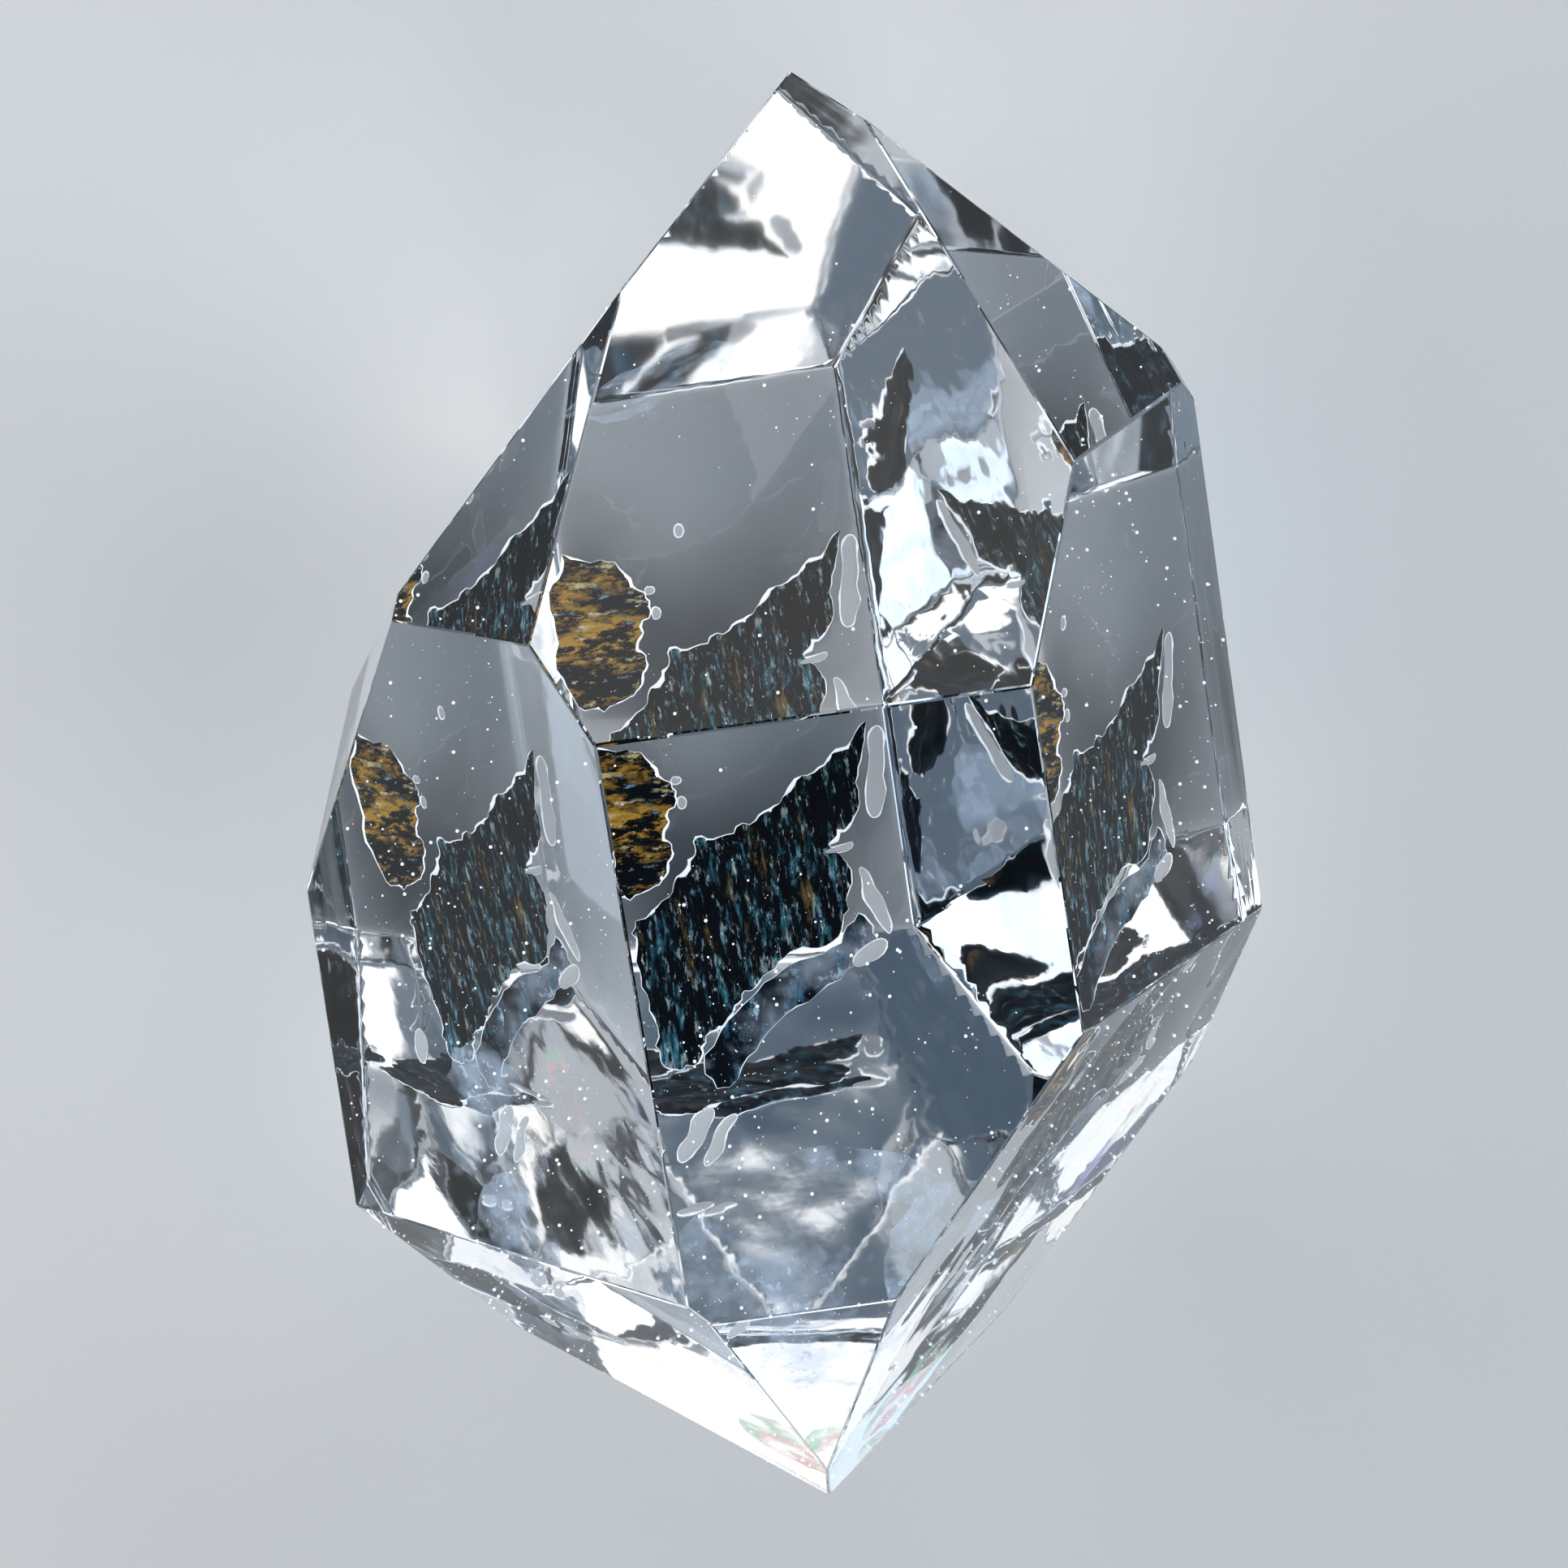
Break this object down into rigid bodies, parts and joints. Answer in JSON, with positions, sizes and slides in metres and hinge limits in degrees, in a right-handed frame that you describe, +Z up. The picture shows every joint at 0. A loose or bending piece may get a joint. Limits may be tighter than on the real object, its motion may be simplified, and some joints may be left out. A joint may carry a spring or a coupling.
{
  "type": "herkimer diamond quartz crystal",
  "caption": "Clear doubly terminated quartz crystal lying on a prism face, with a dark film sealed inside it.",
  "frame": {"origin": "centre of the bounding box in plan, on the surface that the crystal rests on", "axes": "+Z up from the resting prism face, +Y along the crystal's long axis towards its taller point, +X across it"},
  "size_m": [0.0146, 0.0224, 0.0147],
  "materials": {
    "clear_quartz": "clear, glossy natural faces",
    "carbon_film": "thin blue-black carbon film",
    "brown_film": "thin brown film with orange flecks"
  },
  "bodies": {
    "root": {"quartz_upper": "clear_quartz", "quartz_lower": "clear_quartz", "dark_film": "carbon_film", "brown_film": "brown_film"}
  },
  "joints": []
}
